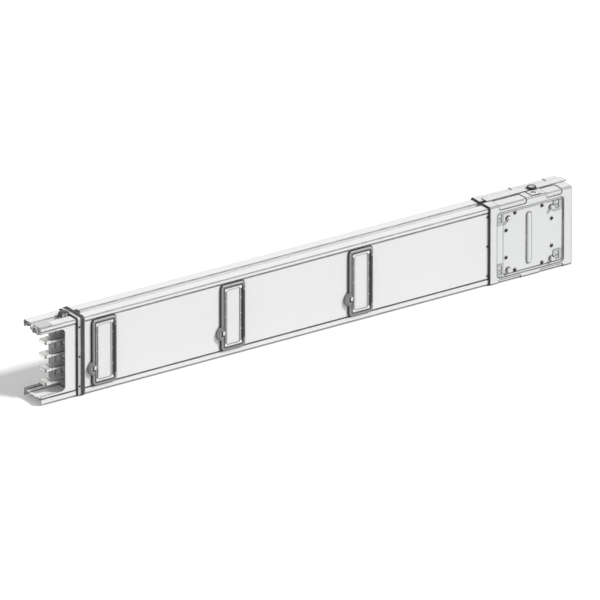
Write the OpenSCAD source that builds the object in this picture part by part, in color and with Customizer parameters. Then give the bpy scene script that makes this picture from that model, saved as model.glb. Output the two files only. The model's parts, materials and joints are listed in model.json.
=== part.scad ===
// Busway section: a flat steel trunking with four flat conductors, tap-off outlets with
// hinged doors on both sides, an open plug-in end and a joint block on the other end.
// X runs along the length, Z is up, the front faces -Y. Heights inside the modules are
// counted from the lower edge of the casing. The origin is under the middle of the part.

/* [Section] */
// Length from joint centre to joint centre
section_length = 1050; // [900:10:3000]
// Width of the casing
case_width = 54; // [52:0.5:62]
// Height of the casing
case_height = 146; // [144:1:170]
// Thickness of the side sheets
sheet = 1.2; // [0.8:0.1:1.6]
// Wall of the top and bottom profiles
profile_wall = 1.4; // [1:0.1:1.8]
// Step from the top and bottom profiles back to the side sheets
sheet_inset = 0.8; // [0.4:0.1:1.2]
// Width of the inward flanges of the side sheets
return_flange = 13; // [10:0.5:15]

/* [Top and bottom profiles] */
// Height of the box rails
rail_height = 8; // [7:0.5:10]
// Width of the top groove
groove_width = 10.4; // [9:0.2:13]
// Depth of the top groove
groove_depth = 10.6; // [9:0.2:13]
// Height of the bottom channel
foot_height = 9.2; // [8:0.2:12]
// Fold radius of the profiles
profile_radius = 1.8; // [1.8:0.1:2.5]

/* [Conductors] */
// Width of a conductor
bar_width = 22; // [18:0.5:26]
// Thickness of a conductor
bar_thickness = 6.5; // [5:0.1:8]
// Edge radius of a conductor
bar_edge = 1.6; // [0.5:0.1:2.4]
// Distance from one conductor to the next
bar_pitch = 26.5; // [25.5:0.1:28]
// Height of the lowest conductor's middle
lowest_bar = 27.4; // [26.8:0.1:29]
// Distance from a joint centre to the tips of the conductors
bar_setback = 21; // [16:0.5:26]

/* [Conductor supports] */
// Distance from the joint centre to the first support
support_start = 66; // [62:0.5:72]
// Thickness of a support along the length
support_length = 12; // [8:0.5:16]
// Play of a conductor in its slot
bar_play = 0.2; // [0.1:0.05:0.3]

/* [End windows] */
// Length of the windows in the side sheets
window_length = 52; // [48:0.5:56]
// Corner radius of the windows
window_radius = 8; // [4:0.5:12]
// Sheet left above the windows
window_top_strip = 5; // [4:0.5:7]
// Sheet left below the windows
window_bottom_strip = 6; // [4:0.5:7]

/* [End collar] */
// Distance from the joint centre to the collar
collar_start = 78; // [76:0.5:80]
// Length of the collar
collar_length = 14; // [12:0.5:18]
// Wall of the collar
collar_wall = 2; // [1.5:0.1:2.4]
// Length of the rubber seal in front of the collar
seal_length = 2.5; // [1.5:0.1:3.5]
// How far the rubber seal stands out
seal_rise = 1.4; // [0.8:0.1:2]
// Distance from rib to rib of the collar
rib_pitch = 1.7; // [1.4:0.1:2.6]

/* [Tap-off outlets] */
// Distance from the joint centre to the first outlet
outlet_first = 134; // [132:1:160]
// Distance from outlet to outlet
outlet_pitch = 275; // [200:5:390]
// Width of an outlet frame
outlet_width = 50; // [48:0.5:56]
// Clearance of the outlet seal to the edges of the side sheet
outlet_edge_gap = 0.4; // [0.2:0.1:1]
// Rim of the rubber seal that shows round the outlet frame
outlet_rim = 1.6; // [1:0.1:2.2]
// Thickness of the outlet seal
outlet_seal = 1.2; // [0.8:0.1:1.6]
// Thickness of the outlet frame
outlet_frame_depth = 3.6; // [3.4:0.1:4]
// Border of the outlet frame
outlet_border = 6; // [5.6:0.1:7]
// Gap between door and frame
door_gap = 0.4; // [0.3:0.1:0.6]
// Thickness of a door
door_thickness = 3; // [2.6:0.1:3.2]
// Radius of the door's hinge barrel
barrel_radius = 2.4; // [2.2:0.1:2.6]
// Radius of the door's hinge pins
pin_radius = 1.3; // [1:0.1:1.5]
// Running clearance of the hinge pins
pin_clearance = 0.06; // [0.03:0.01:0.09]
// Radius of the latch lug
lug_radius = 13.5; // [12:0.5:15]
// Depth of the recess behind a door
outlet_recess = 8; // [6:0.5:10]

/* [Joint block] */
// Margin of the joint block round the casing
joint_margin = 3; // [2.8:0.1:4]
// Thickness of the joint frames
joint_sheet = 1.5; // [1.2:0.1:1.8]
// Length of the joint frames before the joint centre
joint_back = 86; // [84:0.5:90]
// Length of the joint frames past the joint centre
joint_front = 91.5; // [88:0.5:96]
// Fold radius of the joint frames
joint_radius = 3.8; // [2.5:0.1:4.5]
// Thickness of the joint plates
plate_sheet = 1.2; // [0.8:0.1:1.2]
// Distance between the joint screws along the length
screw_spacing_x = 94; // [88:1:100]
// Distance of the joint screws from the edges of the frame's opening
screw_margin = 13.5; // [12:0.5:16]
// Length of the contact blades
blade_length = 92; // [84:1:96]
// Thickness of a contact blade
blade_thickness = 2.5; // [1.5:0.1:3]
// How far the bridge tongue reaches past the joint centre
tongue_reach = 97; // [94:0.5:110]

/* [Hidden] */
$fn = 48;
eps = 0.01;
bar_count = 4;
outlet_count = 3;
sides = ["front", "back"];

half_width = case_width / 2;
sheet_face = half_width - sheet_inset;
sheet_low = foot_height;
sheet_high = case_height - rail_height;
sheet_middle = (sheet_low + sheet_high) / 2;
groove_floor = case_height - groove_depth;
groove_bottom = groove_floor - profile_wall;
rib_rise = 1;
rivet_band = 6;
lip = 1;
collar_top = collar_wall + rib_rise;
joint_x = section_length;
frame_face = half_width + joint_margin;
frame_inner = frame_face - joint_sheet;
key_reach = 5;
key_pad = 28;
key_shank = 18;
key_drop = 12;
key_sheet = 1.5;
latch_reach = 20;
latch_sheet = 2.5;
latch_cell = 5;
tip_radius = 3;
rivet_spread = (sheet_high - sheet_low) / 2 - 7.4;
support_step = 10;
part_low = -key_reach;
part_high = section_length + tongue_reach;

outlet_frame_height = sheet_high - sheet_low - 2 * (outlet_edge_gap + outlet_rim);
outlet_inner_width = outlet_width - 2 * outlet_border;
outlet_inner_height = outlet_frame_height - 2 * outlet_border;
seal_face = sheet_face + outlet_seal;
outlet_face = seal_face + outlet_frame_depth;
door_width = outlet_inner_width - 2 * door_gap;
door_height = outlet_inner_height - 2 * door_gap;
door_face = outlet_face - 0.2;
barrel_x = outlet_inner_width / 2 + door_gap + barrel_radius;
barrel_y = -outlet_face;
barrel_margin = 12;
barrel_height = outlet_inner_height - 2 * barrel_margin;
barrel_slot = barrel_height + 2 * door_gap;
ear_height = 6;
contact_pitch = 9;
rebate = 2;
rebate_depth = 1.2;
top_bevel = 1.8;
hinge_strip = 1.8;
panel_width = door_width - 10.2;
lug_rise = 35;
lug_z = sheet_low + lug_rise;
lug_window = 10;
nose_reach = 3.6;
nose_thickness = 1.4;
strip_width = 2.4;
bridge_pitch = 30;
strip_x = door_width / 2 - strip_width / 2 - 1;
socket_face = door_face - door_thickness - outlet_recess;

flange_edge = 4.5;
recess_depth = 1.1;
recess_drop = 7;
recess_foot = 3.8;
recess_round = 4;
recess_edge = 6;
foot_recess_edge = 2 * half_width / 3;
front_recesses = [[-67, -7], [36, 70]];
back_recesses = [[-67, -7], [8, 67]];
lower_recesses = [[-69, -19], [22, 73]];
tongue_far = 13.5;
tongue_back = 76;
tongue_sheet = 1.5;
captive_x = 24;
captive_radius = 3;
captive_reach = 12;
captive_head = 8.5;
locating_spot = [16, -17];
locating_size = 20;
locating_sheet = 1.2;
frame_open = [-71, 74];
frame_open_low = 7;
frame_open_top = 12;
frame_open_high = case_height - frame_open_top;
frame_middle = [(frame_open[0] + frame_open[1]) / 2, (frame_open_low + frame_open_high) / 2];
frame_open_size = [frame_open[1] - frame_open[0], frame_open_high - frame_open_low];
screw_middle = [frame_middle[0] - 0.5, frame_middle[1] - 2];
plate_lap = 2;
panel_left = -57;
panel_gap = 2;
panel_step = 4;
panel_drop = 1;
panel_face = frame_inner - panel_drop;
edge_rivet_x = [-31, 28];
side_rivet_x = [-50, 49];
side_rivet_z = [-27.5, 25.5];
bead_width = 11.7;
bead_rise = 3.5;
bead_radius = (pow(bead_width / 2, 2) + pow(bead_rise, 2)) / (2 * bead_rise);
bead_margin = 13.5;
bead_straight = frame_open_size[1] - 2 * bead_margin - bead_width;

// Middle, size and window middles of the clips in the corners of a joint frame.
clip_inset = 12;
clip_high = frame_open_high - clip_inset;
clip_low = frame_open_low + clip_inset + 2.7;
clips = [
    [[-64.5, clip_high], [13, 24], [clip_high + 4.5, clip_high - 4.5]],
    [[-64.5, clip_low], [13, 24], [clip_low + 4.5, clip_low - 4.5]],
    [[60.5, clip_high - 1], [17, 22], [clip_high + 3, clip_high - 5]],
    [[60.5, clip_low + 1], [17, 22], [clip_low + 5, clip_low - 3]]
];

function bar_z(i) = lowest_bar + (i - 1) * bar_pitch;
function outlet_x(i) = outlet_first + (i - 1) * outlet_pitch;

// Moves a piece into the part's frame.
module place() {
    translate([-(part_low + part_high) / 2, 0, joint_margin]) children();
}

// Rectangle with its middle at the origin and round corners.
module round_rect(w, h, r) {
    square([w - 2 * r, h], center = true);
    square([w, h - 2 * r], center = true);
    for (x = [-1, 1], y = [-1, 1]) translate([x * (w / 2 - r), y * (h / 2 - r)]) circle(r);
}

// Extrudes a Y-Z section from x0 to x1.
module along(x0, x1) {
    translate([x0, 0, 0]) rotate([90, 0, 90]) linear_extrude(x1 - x0) children();
}

// Extrudes an X-Z outline towards the front, from depth y0 to depth y1.
module outward(y0, y1) {
    translate([0, -y0, 0]) rotate([90, 0, 0]) linear_extrude(y1 - y0) children();
}

// Outline of the casing, grown by a margin.
module case_outline(margin, r) {
    translate([0, case_height / 2])
        round_rect(case_width + 2 * margin, case_height + 2 * margin, r);
}

// Ring round the casing from x0 to x1.
module ring(x0, x1, inner, outer, r_outer) {
    along(x0, x1) difference() {
        case_outline(outer, r_outer);
        translate([0, case_height / 2])
            square([case_width + 2 * inner, case_height + 2 * inner], center = true);
    }
}

// Turns a piece drawn for the front to the named side of the casing.
module on_side(side) {
    rotate([0, 0, side == "back" ? 180 : 0]) children();
}

// Mirrors a piece drawn for the front to the named side.
module facing(side) {
    mirror([0, side == "back" ? 1 : 0, 0]) children();
}

// One box rail of the top profile, on the +Y side.
module rail_section() {
    rail_width = half_width - groove_width / 2;
    middle = (half_width + groove_width / 2) / 2;
    translate([middle, case_height - rail_height / 2]) difference() {
        round_rect(rail_width, rail_height, profile_radius);
        round_rect(rail_width - 2 * profile_wall, rail_height - 2 * profile_wall,
                   profile_radius - profile_wall + 0.2);
        translate([-rail_width / 2 + profile_wall, -rail_height])
            square([rail_width - return_flange - profile_wall, rail_height]);
    }
}

module top_profile() {
    color("gainsboro") along(0, section_length) {
        for (m = [0, 1]) mirror([m, 0]) rail_section();
        difference() {
            translate([-groove_width / 2 - profile_wall, groove_bottom])
                square([groove_width + 2 * profile_wall, groove_depth + profile_wall - profile_radius]);
            translate([-groove_width / 2, groove_floor]) square([groove_width, groove_depth + 1]);
        }
    }
}

module bottom_channel() {
    color("gainsboro") along(0, section_length) difference() {
        translate([-half_width, 0]) square([case_width, foot_height]);
        translate([-half_width + profile_wall, -eps])
            square([case_width - 2 * profile_wall, foot_height - profile_wall + eps]);
    }
}

// Section of a side sheet with its folded edges, on the -Y side.
module side_section() {
    r = 2.2;
    height = sheet_high - sheet_low;
    difference() {
        translate([-sheet_face + return_flange, sheet_middle])
            round_rect(2 * return_flange, height, r);
        translate([-sheet_face + sheet + return_flange, sheet_middle])
            round_rect(2 * return_flange, height - 2 * sheet, r - sheet);
        translate([-sheet_face + return_flange, 0]) square([2 * return_flange, case_height]);
    }
}

// Window at the open end, from the joint centre along +X.
module end_window() {
    low = sheet_low + window_bottom_strip;
    high = sheet_high - window_top_strip;
    translate([-window_length, (low + high) / 2])
        translate([window_length / 2, 0]) round_rect(3 * window_length, high - low, window_radius);
}

module side_sheet(side) {
    color("whitesmoke") facing(side) difference() {
        along(0, section_length) side_section();
        outward(sheet_face - sheet - 1, sheet_face + 1) {
            end_window();
            translate([section_length, 0]) mirror([1, 0]) end_window();
        }
        for (i = [1:outlet_count])
            outward(sheet_face - sheet - 1, sheet_face + 1)
                translate([outlet_x(i), sheet_middle])
                    round_rect(outlet_inner_width, outlet_inner_height, 2);
    }
}

module conductor(i) {
    length = section_length - 2 * bar_setback;
    color("silver") translate([0, 0, bar_z(i)]) intersection() {
        along(bar_setback, bar_setback + length) round_rect(bar_width, bar_thickness, bar_edge);
        translate([section_length / 2, 0, -bar_thickness])
            linear_extrude(2 * bar_thickness) round_rect(length, bar_width, tip_radius);
    }
}

// Supports stand near both ends and midway between the outlets.
function support_x(i) =
    i == 1 ? support_start :
    i == bar_count ? section_length - support_start - support_length - support_step :
    (outlet_x(i - 1) + outlet_x(i)) / 2 - support_length / 2;

module conductor_support(i) {
    inner = sheet_face - sheet;
    low = sheet_low + sheet;
    pocket_depth = 3;
    pocket_width = bar_width - 4;
    pocket_height = bar_pitch - bar_thickness - 8;
    color("dimgray") translate([support_x(i), 0, 0]) difference() {
        along(0, support_length) translate([0, (low + groove_bottom) / 2])
            round_rect(2 * inner, groove_bottom - low, 1.2);
        for (b = [1:bar_count]) {
            along(-1, support_length + 1) translate([0, bar_z(b)])
                square([bar_width + 2 * bar_play, bar_thickness + 2 * bar_play], center = true);
            for (x = [0, support_length]) translate([x, 0, bar_z(b) + bar_pitch / 2])
                cube([2 * pocket_depth, pocket_width, pocket_height], center = true);
        }
    }
}

module collar_seal() {
    color("black") ring(collar_start - seal_length, collar_start, 0, seal_rise, 2.4);
}

module end_collar() {
    end = collar_start + collar_length;
    ribs = floor((collar_length - rivet_band - lip) / rib_pitch);
    color("lightgray") {
        ring(collar_start, end, 0, collar_wall, 4);
        for (k = [1:ribs]) translate([end - lip - k * rib_pitch, 0, 0])
            ring(0, rib_pitch / 2, 1, collar_top, 5);
        ring(end - lip, end, 1, collar_top, 5);
    }
}

module rivet(r, h) {
    rotate([90, 0, 0]) {
        cylinder(r = r, h = h * 0.6);
        translate([0, 0, h * 0.6 - eps]) cylinder(r1 = r, r2 = r * 0.6, h = h * 0.4);
    }
}

module collar_rivets() {
    color("dimgray")
        for (s = sides, k = [-1:1]) facing(s)
            translate([collar_start + rivet_band / 2, -half_width - collar_wall,
                       sheet_middle + k * rivet_spread]) rivet(1.8, 1.2);
}

// Clip that lies in the top groove, stands up in front of the collar and hooks behind it.
module groove_latch() {
    width = groove_width - 0.4;
    front = collar_start - latch_reach;
    back = collar_start - seal_length;
    hook = collar_start + collar_length + 0.5;
    foot = front + 2;
    stub = 6;
    wall = (back - front - 2 * latch_cell) / 5;
    color("dimgray") {
        translate([foot, -width / 2, groove_floor]) cube([hook + stub + 1 - foot, width, latch_sheet]);
        translate([hook, -width / 2, groove_floor]) cube([stub, width, groove_depth + 3.5]);
        translate([0, width / 2, 0]) rotate([90, 0, 0]) linear_extrude(width) difference() {
            union() {
                translate([(front + back) / 2, case_height + 3]) round_rect(back - front, 11, 4);
                translate([foot, groove_floor]) square([back - foot, groove_depth + 2]);
            }
            for (x = [front + 2 * wall, back - 2 * wall - latch_cell])
                translate([x, case_height + 0.5]) square([latch_cell, latch_cell + 0.5]);
        }
    }
}

// Arch outline, standing on y = 0.
module arch(w, h) {
    intersection() {
        union() {
            translate([0, h - w / 2]) circle(w / 2);
            translate([-w / 2, 0]) square([w, h - w / 2]);
        }
        translate([-w / 2, 0]) square([w, h]);
    }
}

// Arch of one line, open below.
module arch_line(w, h, line) {
    difference() {
        arch(w, h);
        translate([0, -1]) arch(w - 2 * line, h - line + 1);
    }
}

// Moulded key in the open end of the front rail, with an arched nose and a pad on the rail.
module coding_key() {
    rail_width = half_width - groove_width / 2;
    nose_width = rail_width - 4.8;
    nose_height = key_drop + 1;
    color("darkgray") translate([0, -(half_width + groove_width / 2) / 2, case_height]) {
        along(-key_sheet, key_shank) translate([0, -rail_height / 2])
            square([rail_width - 2 * profile_wall - 1, rail_height - 2 * profile_wall - 0.4],
                   center = true);
        along(-key_sheet, 0) translate([0, -(key_drop - key_sheet) / 2])
            round_rect(rail_width - 0.4, key_drop + key_sheet, 3);
        along(-key_reach, -key_sheet) translate([0, -key_drop]) arch_line(nose_width, nose_height, 2.5);
        along(-key_reach + 1, -key_sheet) translate([0, -key_drop]) arch_line(8, 8, 1.8);
        translate([-key_sheet, 1 - rail_width / 2, 0]) cube([key_pad, rail_width - 2, key_sheet]);
    }
}

module outlet_socket(i) {
    color("ivory") translate([outlet_x(i), 0, 0]) difference() {
        translate([0, 0, sheet_middle])
            cube([outlet_inner_width + 4, 2 * socket_face, outlet_inner_height + 2], center = true);
        for (b = [1:bar_count]) {
            along(-outlet_width, outlet_width) translate([0, bar_z(b)])
                square([bar_width + 2 * bar_play, bar_thickness + 2 * bar_play], center = true);
            for (s = sides, x = [-1:1]) facing(s)
                outward(bar_width / 2 - 0.5, socket_face + 1)
                    translate([x * contact_pitch, bar_z(b)]) square([5, 3.5], center = true);
        }
    }
}

module outlet_seal(side, i) {
    color("black") translate([outlet_x(i), 0, 0]) on_side(side)
        outward(sheet_face, seal_face) translate([0, sheet_middle]) difference() {
            round_rect(outlet_width + 2 * outlet_rim, outlet_frame_height + 2 * outlet_rim, 7);
            round_rect(outlet_inner_width, outlet_inner_height, 2);
        }
}

// Half-round latch lug, left of a line at the given distance from the outlet's middle.
module lug_outline(limit, radius = lug_radius) {
    intersection() {
        translate([-outlet_width / 2 + 4, lug_z]) circle(radius);
        translate([-limit - outlet_width, 0]) square([outlet_width, case_height]);
    }
}

module outlet_frame(side, i) {
    color("lightgray") translate([outlet_x(i), 0, 0]) on_side(side) difference() {
        union() {
            outward(seal_face, outlet_face) translate([0, sheet_middle])
                round_rect(outlet_width, outlet_frame_height, 6);
            outward(seal_face, outlet_face + 0.5) lug_outline(outlet_inner_width / 2 + 2);
            outward(seal_face, outlet_face + 1.2)
                lug_outline(outlet_inner_width / 2 + 2, lug_radius - 3);
            outward(sheet_face, seal_face) lug_outline(outlet_width / 2 + outlet_rim + 0.2);
            for (m = [-1, 1]) translate([barrel_x, barrel_y, sheet_middle])
                mirror([0, 0, m == 1 ? 0 : 1]) translate([0, 0, barrel_slot / 2])
                    cylinder(r = barrel_radius, h = ear_height);
        }
        outward(seal_face - 1, outlet_face + 2) translate([0, sheet_middle])
            round_rect(outlet_inner_width, outlet_inner_height, 2);
        outward(outlet_face - rebate_depth, outlet_face + 1) translate([0, sheet_middle])
            round_rect(outlet_inner_width + 2 * rebate, outlet_inner_height + 2 * rebate, 3.5);
        outward(outlet_face - 2, outlet_face + 2)
            translate([-outlet_width / 2 - 2, lug_z - lug_window / 2]) square([lug_window, lug_window]);
        translate([0, -outlet_face, sheet_middle + outlet_frame_height / 2]) rotate([45, 0, 0])
            cube([outlet_width + 1, 2 * top_bevel, 2 * top_bevel], center = true);
        outward(door_face - hinge_strip - door_gap, outlet_face + 1)
            translate([outlet_inner_width / 2 - 1, sheet_middle - barrel_slot / 2])
                square([barrel_x - outlet_inner_width / 2 + 1, barrel_slot]);
        translate([barrel_x, barrel_y, sheet_middle]) {
            cylinder(r = barrel_radius + 0.3, h = barrel_slot, center = true);
            cylinder(r = pin_radius + pin_clearance, h = barrel_slot + 2 * ear_height - 3, center = true);
        }
    }
}

module outlet_door(side, i) {
    color("white") translate([outlet_x(i), 0, 0]) on_side(side) {
        difference() {
            union() {
                outward(door_face - door_thickness, door_face) translate([0, sheet_middle])
                    round_rect(door_width, door_height, 1.6);
                outward(door_face - hinge_strip, door_face)
                    translate([0, sheet_middle - barrel_height / 2]) square([barrel_x, barrel_height]);
                outward(door_face - nose_thickness, door_face)
                    translate([-door_width / 2, lug_z])
                        square([2 * nose_reach, lug_window - 2], center = true);
            }
            outward(door_face - 1, door_face + 1) translate([0, sheet_middle])
                round_rect(panel_width, door_height - 7, 2);
            outward(door_face - 0.8, door_face + 1) for (x = [-1, 1])
                translate([x * strip_x, sheet_middle]) difference() {
                    square([strip_width, door_height - 12], center = true);
                    for (k = [-1:1]) translate([0, 2.4 + k * bridge_pitch]) square([4, 1.6], center = true);
                }
        }
        translate([barrel_x, barrel_y, sheet_middle]) {
            cylinder(r = barrel_radius, h = barrel_height, center = true);
            cylinder(r = pin_radius, h = barrel_height + 2 * ear_height - 4, center = true);
        }
    }
}

module joint_seal() {
    color("black") translate([joint_x, 0, 0]) {
        ring(-joint_back - 1.6, -joint_back, 0, joint_margin - 0.2, joint_radius);
        ring(-joint_back, -joint_back + 8, 0, joint_margin - joint_sheet,
             joint_radius - joint_sheet);
    }
}

// Section of a joint frame: a plate with both edges folded over the casing.
module joint_frame_section(margin, thick) {
    difference() {
        case_outline(margin, joint_radius - joint_margin + margin);
        case_outline(margin - thick, joint_radius - joint_margin + margin - thick);
        translate([-flange_edge, -case_height]) square([case_width * 2, 3 * case_height]);
    }
}

// Opening of a joint frame, made smaller by a gap.
module frame_opening(gap) {
    translate(frame_middle)
        round_rect(frame_open_size[0] - 2 * gap, frame_open_size[1] - 2 * gap, 7);
}

// Puts a copy at each of the four joint screws.
module screw_spots() {
    for (x = [-1, 1], z = [-1, 1])
        translate([screw_middle[0] + x * screw_spacing_x / 2,
                   screw_middle[1] + z * (frame_open_size[1] / 2 - screw_margin)]) children();
}

// Space of a recess over the upper front edge, down by a drop and back to a distance from the middle.
module edge_recess(x0, x1, drop, edge, grow) {
    wide = x1 - x0 + 2 * grow;
    translate([(x0 + x1) / 2, 0, 0]) intersection() {
        outward(0, frame_face + 1) translate([0, case_height - drop - grow + case_width])
            round_rect(wide, 2 * case_width, recess_round + grow);
        translate([0, grow - edge - case_width, case_height - 2 * recess_drop])
            linear_extrude(4 * recess_drop)
                round_rect(wide, 2 * case_width, recess_round + grow);
    }
}

// Space of all recesses in a joint frame, grown by a margin.
module joint_recesses(side, grow) {
    upper = side == "front" ? front_recesses : back_recesses;
    edge = side == "front" ? recess_edge : tongue_far + 0.5;
    for (p = upper) edge_recess(p[0], p[1], recess_drop, edge, grow);
    for (p = lower_recesses) translate([0, 0, case_height]) mirror([0, 0, 1])
        edge_recess(p[0], p[1], recess_foot, foot_recess_edge, grow);
}

// Folded sheet with recesses pressed over its upper and lower front edges.
module joint_frame(side) {
    color("lightgray") translate([joint_x, 0, 0]) facing(side) {
        difference() {
            along(-joint_back, joint_front) joint_frame_section(joint_margin, joint_sheet);
            outward(frame_inner - 2, frame_face + 1) frame_opening(0);
            joint_recesses(side, 0);
        }
        intersection() {
            along(-joint_back, joint_front)
                joint_frame_section(joint_margin - recess_depth, joint_sheet);
            joint_recesses(side, 1);
        }
    }
}

// Outline of the dished panel in a joint plate, grown by a margin.
module panel_outline(margin) {
    right = frame_open[1] - panel_gap;
    translate([(panel_left + right) / 2, frame_middle[1]])
        round_rect(right - panel_left + 2 * margin,
                   frame_open_size[1] - 2 * panel_step + 2 * margin, 4 + margin);
}

// Plate with a dished panel and a raised bead, clamped behind the opening of a joint frame.
module joint_plate(side) {
    color("gainsboro") translate([joint_x, 0, 0]) facing(side) {
        difference() {
            union() {
                outward(frame_inner - plate_sheet, frame_inner) frame_opening(-plate_lap);
                outward(panel_face - plate_sheet, frame_inner - plate_sheet / 2)
                    panel_outline(plate_sheet);
            }
            outward(panel_face, frame_inner + 1) panel_outline(0);
        }
        intersection() {
            translate([-1, bead_radius - bead_rise - panel_face, frame_middle[1]]) {
                cylinder(r = bead_radius, h = bead_straight, center = true);
                for (m = [-1, 1]) translate([0, 0, m * bead_straight / 2]) sphere(bead_radius);
            }
            outward(panel_face - plate_sheet / 2, panel_face + bead_rise + 1) panel_outline(0);
        }
    }
}

module joint_screws(side) {
    color("silver") translate([joint_x, 0, 0]) facing(side) {
        outward(panel_face, panel_face + 1.4) screw_spots() circle(5.2);
        outward(panel_face, panel_face + 7.5) screw_spots() circle(3.6);
    }
}

module joint_rivets() {
    edge = frame_open_size[1] / 2 - panel_step - 4.2;
    color("dimgray") translate([joint_x, 0, 0]) for (s = sides) facing(s) {
        for (p = concat([for (x = edge_rivet_x, z = [-edge, edge]) [x, z]],
                        [for (x = side_rivet_x, z = side_rivet_z) [x, z]]))
            translate([p[0], -panel_face, frame_middle[1] + p[1]]) rivet(3.2, 2);
        for (k = [-1:1])
            translate([-joint_back - 4, -sheet_face, sheet_middle + k * rivet_spread]) rivet(1.8, 1.6);
    }
}

module corner_clips(side) {
    color("dimgray") translate([joint_x, 0, 0]) facing(side) for (c = clips) {
        seat = c[0][0] > 0 ? panel_face : frame_inner;
        outward(seat, seat + 1.2) difference() {
            intersection() {
                translate(c[0]) round_rect(c[1][0], c[1][1], 2);
                if (c[0][0] > 0) panel_outline(-0.3); else frame_opening(0.3);
            }
            translate([c[0][0], c[2][0]]) square([7, 8], center = true);
            translate([c[0][0], c[2][1]]) square([7, 5.5], center = true);
            screw_spots() circle(6);
        }
    }
}

module joint_insulator() {
    low = sheet_low + window_bottom_strip + 1;
    high = sheet_high - window_top_strip - 1;
    slot_width = bar_width + 5;
    slot_height = bar_thickness + 2 * blade_thickness;
    half_length = blade_length / 2 + 3;
    half_depth = panel_face - plate_sheet;
    color("dimgray") translate([joint_x, 0, 0]) difference() {
        outward(-half_depth, half_depth) translate([0, (low + high) / 2])
            round_rect(2 * half_length, high - low, window_radius + 1);
        for (b = [1:bar_count]) along(-half_length - 1, half_length + 1) translate([0, bar_z(b)])
            square([slot_width, slot_height], center = true);
    }
}

module joint_contact(i) {
    color("silver") translate([joint_x, 0, bar_z(i)])
        for (m = [0, 1]) mirror([0, 0, m])
            translate([-blade_length / 2, -bar_width / 2 - 2, bar_thickness / 2])
                cube([blade_length, bar_width + 4, blade_thickness]);
}

module bridge_tongue() {
    color("lightgray") translate([joint_x, 0, case_height + joint_margin]) difference() {
        translate([-tongue_back, -flange_edge, 0])
            cube([tongue_back + tongue_reach, flange_edge + tongue_far, tongue_sheet]);
        translate([captive_x, 0, -1]) cylinder(r = captive_radius + 0.3, h = tongue_sheet + 2);
    }
}

module captive_screw() {
    head = 4;
    color("silver")
        translate([joint_x + captive_x, 0, case_height + joint_margin + tongue_sheet]) {
            cylinder(r = captive_head, h = head);
            translate([0, 0, -captive_reach]) cylinder(r = captive_radius, h = captive_reach + 1);
        }
}

module locating_plate() {
    color("gray")
        translate([joint_x + locating_spot[0], locating_spot[1], case_height + joint_margin])
            linear_extrude(locating_sheet) difference() {
                square(locating_size, center = true);
                circle(4);
            }
}

place() top_profile();
place() bottom_channel();
for (s = sides) place() side_sheet(s);
for (i = [1:bar_count]) place() conductor(i);
for (i = [1:bar_count])
    place() conductor_support(i);
place() collar_seal();
place() end_collar();
place() collar_rivets();
place() groove_latch();
place() coding_key();
for (i = [1:outlet_count])
    place() outlet_socket(i);
for (s = sides, i = [1:outlet_count]) {
    place() outlet_seal(s, i);
    place() outlet_frame(s, i);
    place() outlet_door(s, i);
}
place() joint_seal();
place() joint_rivets();
place() joint_insulator();
place() bridge_tongue();
place() captive_screw();
place() locating_plate();
for (i = [1:bar_count])
    place() joint_contact(i);
for (s = sides) {
    place() joint_frame(s);
    place() joint_plate(s);
    place() joint_screws(s);
    place() corner_clips(s);
}
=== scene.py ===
# Busway section: materials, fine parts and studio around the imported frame.
import json
import math
import bpy
import bmesh
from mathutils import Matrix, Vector


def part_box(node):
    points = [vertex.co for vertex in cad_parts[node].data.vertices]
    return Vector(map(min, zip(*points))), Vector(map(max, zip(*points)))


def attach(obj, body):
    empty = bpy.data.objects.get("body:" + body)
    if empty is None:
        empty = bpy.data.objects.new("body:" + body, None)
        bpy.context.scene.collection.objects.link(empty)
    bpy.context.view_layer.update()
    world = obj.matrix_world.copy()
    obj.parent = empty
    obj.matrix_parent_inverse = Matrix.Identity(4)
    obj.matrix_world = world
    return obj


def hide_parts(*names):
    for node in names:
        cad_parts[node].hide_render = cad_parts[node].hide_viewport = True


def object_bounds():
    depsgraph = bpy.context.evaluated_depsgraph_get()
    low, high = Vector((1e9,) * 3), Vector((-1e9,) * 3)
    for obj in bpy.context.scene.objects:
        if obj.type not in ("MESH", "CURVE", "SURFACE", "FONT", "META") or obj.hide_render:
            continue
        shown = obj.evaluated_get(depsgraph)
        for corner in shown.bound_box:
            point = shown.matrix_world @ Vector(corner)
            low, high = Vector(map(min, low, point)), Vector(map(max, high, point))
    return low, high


mm = 0.001
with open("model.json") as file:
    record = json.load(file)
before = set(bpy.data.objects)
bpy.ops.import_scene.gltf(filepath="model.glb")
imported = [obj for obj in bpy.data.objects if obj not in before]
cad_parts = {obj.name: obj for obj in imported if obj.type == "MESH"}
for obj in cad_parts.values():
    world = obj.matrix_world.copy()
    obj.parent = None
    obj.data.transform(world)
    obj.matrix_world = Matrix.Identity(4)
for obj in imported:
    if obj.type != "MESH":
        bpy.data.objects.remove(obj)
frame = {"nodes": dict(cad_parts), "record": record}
nodes = frame["nodes"]
cadLow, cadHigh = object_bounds()
slotOf = {s["node"]: s["material_slot"] for s in frame["record"]["subparts"]}
bodyOf = {node: body for body, members in frame["record"]["behaviour"]["bodies"].items()
          for node in members}


camera = {
    "azimuth": -34.3,      # degrees, left of the front
    "elevation": 23.2,
    "lens": 1500.0,        # a very long lens, so that parallel edges stay parallel
    "sensor": 36.0,
    "imageSize": 600,
    "objectWidth": 557,    # how wide the object stands in the image
    "left": 0.9,           # offsets of its middle from the image's middle
    "up": 11.1,
}
light = {
    "ambient": 0.51,
    "keyStrength": 2.6, "keyAzimuth": 44.0, "keyElevation": 43.0, "keyAngle": 9.0,
    "fillStrength": 0.30, "fillAzimuth": -70.0, "fillElevation": 30.0, "fillAngle": 40.0,
    "floorColor": 0.92, "floorGlow": 0.14, "floorBounce": 0.55, "floorSize": 60.0,
    "floorDrop": 0.0002,   # how far below the lowest point the floor lies, in m
}


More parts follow.
